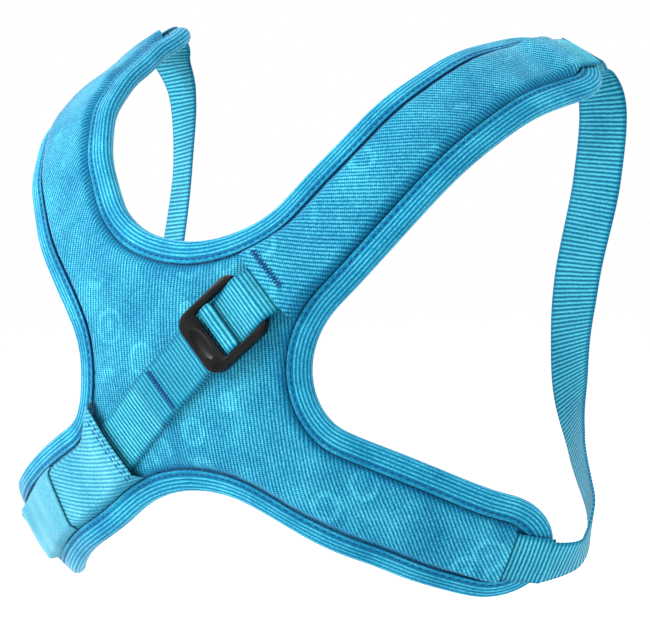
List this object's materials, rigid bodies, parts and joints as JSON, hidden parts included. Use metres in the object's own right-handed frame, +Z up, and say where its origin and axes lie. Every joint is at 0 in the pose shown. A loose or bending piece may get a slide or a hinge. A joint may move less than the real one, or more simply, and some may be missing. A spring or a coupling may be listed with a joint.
{
  "type": "climbing chest harness",
  "caption": "Padded X-shaped chest harness with bound edges, a strap adjusted by a slide buckle on the back, and two webbing loops that pass round the shoulders.",
  "frame": {"origin": "the point midway between the two shoulder tips, where the harness bears on the shoulders", "axes": "+Z up the wearer's body, +Y the way the wearer looks, +X to the wearer's right, so the padded back faces -Y"},
  "size_m": [0.3203, 0.1894, 0.2673],
  "materials": {
    "lining": "soft knitted lining over foam, saturated blue",
    "binding": "folded elastic tape with lengthwise ribs, cyan blue",
    "cover": "ribbed polyester cloth, cyan blue",
    "band": "smooth light blue twill",
    "webbing": "polyester webbing with crosswise ribs, cyan blue",
    "buckle": "satin brown-black moulded plastic"
  },
  "bodies": {
    "root": {"back_pad": "lining", "edge_binding": "binding", "centre_panel": "cover", "shoulder_panel": "cover", "flank_panel": "cover", "flank_end_band": "band", "right_loop_strap": "webbing", "left_loop_strap": "webbing", "adjuster_strap": "webbing", "anchor_strap": "webbing", "buckle": "buckle"}
  },
  "joints": []
}
